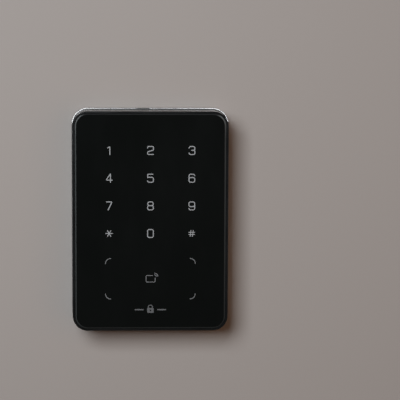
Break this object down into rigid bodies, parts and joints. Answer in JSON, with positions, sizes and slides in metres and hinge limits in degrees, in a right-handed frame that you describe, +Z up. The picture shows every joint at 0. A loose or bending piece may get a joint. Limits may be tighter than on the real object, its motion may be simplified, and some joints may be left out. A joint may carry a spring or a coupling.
{
  "type": "alarm keypad panel",
  "caption": "Slim upright wall reader with a black touch-key glass and card zone in a rounded frame, hung on a steel bracket with a locking screw and tamper pin.",
  "frame": {"origin": "on the wall plane, at the centre of the bracket's back face and of its box slots", "axes": "+X to the user's right, +Y into the wall, +Z up; the glass faces -Y"},
  "size_m": [0.0874, 0.021, 0.1228],
  "materials": {
    "wall_bracket": "zinc plated",
    "bracket_press_nut": "plated",
    "lock_screw": "black oxide",
    "lock_washer": "plated",
    "rear_housing": "fine texture",
    "front_frame": "satin",
    "housing_gasket": "silicone",
    "threaded_inserts": "plain",
    "housing_screws": "plated",
    "cable_grommet": "matt",
    "rating_label": "blank silver-grey",
    "front_glass": "black back print, gloss",
    "glass_adhesive": "foam tape",
    "legend_digits": "grey print",
    "legend_card_corners": "grey print",
    "legend_card_icon": "grey print",
    "legend_badge": "grey print",
    "diffuser_film": "milky film",
    "light_shield": "white",
    "touch_board": "green board",
    "touch_board_screws": "plated",
    "touch_springs": "wire",
    "key_lamps": "ceramic with lens",
    "antenna_board": "green board",
    "antenna_tracks": "copper",
    "antenna_foam_pad": "foam",
    "ferrite_sheet": "dark sheet",
    "main_board": "green board",
    "main_board_screws": "plated",
    "board_chips": "moulded",
    "chip_leads": "tinned",
    "crystal_can": "plain",
    "capacitors": "sleeved",
    "buzzer": "moulded",
    "board_link_socket": "moulded",
    "board_link_plug": "moulded",
    "wire_header": "moulded",
    "header_pins": "tinned",
    "tamper_switch_body": "moulded",
    "tamper_plunger": "white",
    "tamper_spring": "wire"
  },
  "bodies": {
    "bracket": {"wall_bracket": "wall_bracket", "bracket_press_nut": "bracket_press_nut"},
    "reader": {"rear_housing": "rear_housing", "front_frame": "front_frame", "housing_gasket": "housing_gasket", "threaded_inserts": "threaded_inserts", "housing_screws": "housing_screws", "cable_grommet": "cable_grommet", "rating_label": "rating_label", "front_glass": "front_glass", "glass_adhesive": "glass_adhesive", "legend_digits": "legend_digits", "legend_card_corners": "legend_card_corners", "legend_card_icon": "legend_card_icon", "legend_badge": "legend_badge", "diffuser_film": "diffuser_film", "light_shield": "light_shield", "touch_board": "touch_board", "touch_board_screws": "touch_board_screws", "touch_springs": "touch_springs", "key_lamps": "key_lamps", "antenna_board": "antenna_board", "antenna_tracks": "antenna_tracks", "antenna_foam_pad": "antenna_foam_pad", "ferrite_sheet": "ferrite_sheet", "main_board": "main_board", "main_board_screws": "main_board_screws", "board_chips": "board_chips", "chip_leads": "chip_leads", "crystal_can": "crystal_can", "capacitors": "capacitors", "buzzer": "buzzer", "board_link_socket": "board_link_socket", "board_link_plug": "board_link_plug", "wire_header": "wire_header", "header_pins": "header_pins", "tamper_switch_body": "tamper_switch_body", "tamper_spring": "tamper_spring"},
    "tamper_pin": {"tamper_plunger": "tamper_plunger"},
    "washer": {"lock_washer": "lock_washer"},
    "screw": {"lock_screw": "lock_screw"}
  },
  "joints": [
    {"name": "reader_lift", "type": "slide", "parent": "bracket", "child": "reader", "axis": [0, 0, 1], "range_m": [0, 0.005]},
    {"name": "tamper_release", "type": "slide", "parent": "reader", "child": "tamper_pin", "axis": [0, 1, 0], "range_m": [0, 0.0018], "stiffness_N_per_m": 120, "springref_m": 0.0035, "deforming": ["tamper_spring"]},
    {"name": "lock_screw_travel", "type": "slide", "parent": "reader", "child": "washer", "axis": [0, 0, -1], "range_m": [0, 0.0045]},
    {"name": "lock_screw_turn", "type": "hinge", "parent": "washer", "child": "screw", "pos_m": [0, -0.0042, -0.0585], "axis": [0, 0, -1], "range_deg": [0, 3600]}
  ],
  "couplings": [
    {"joint": "lock_screw_turn", "follows": "lock_screw_travel", "rad_per_m": 13963}
  ]
}
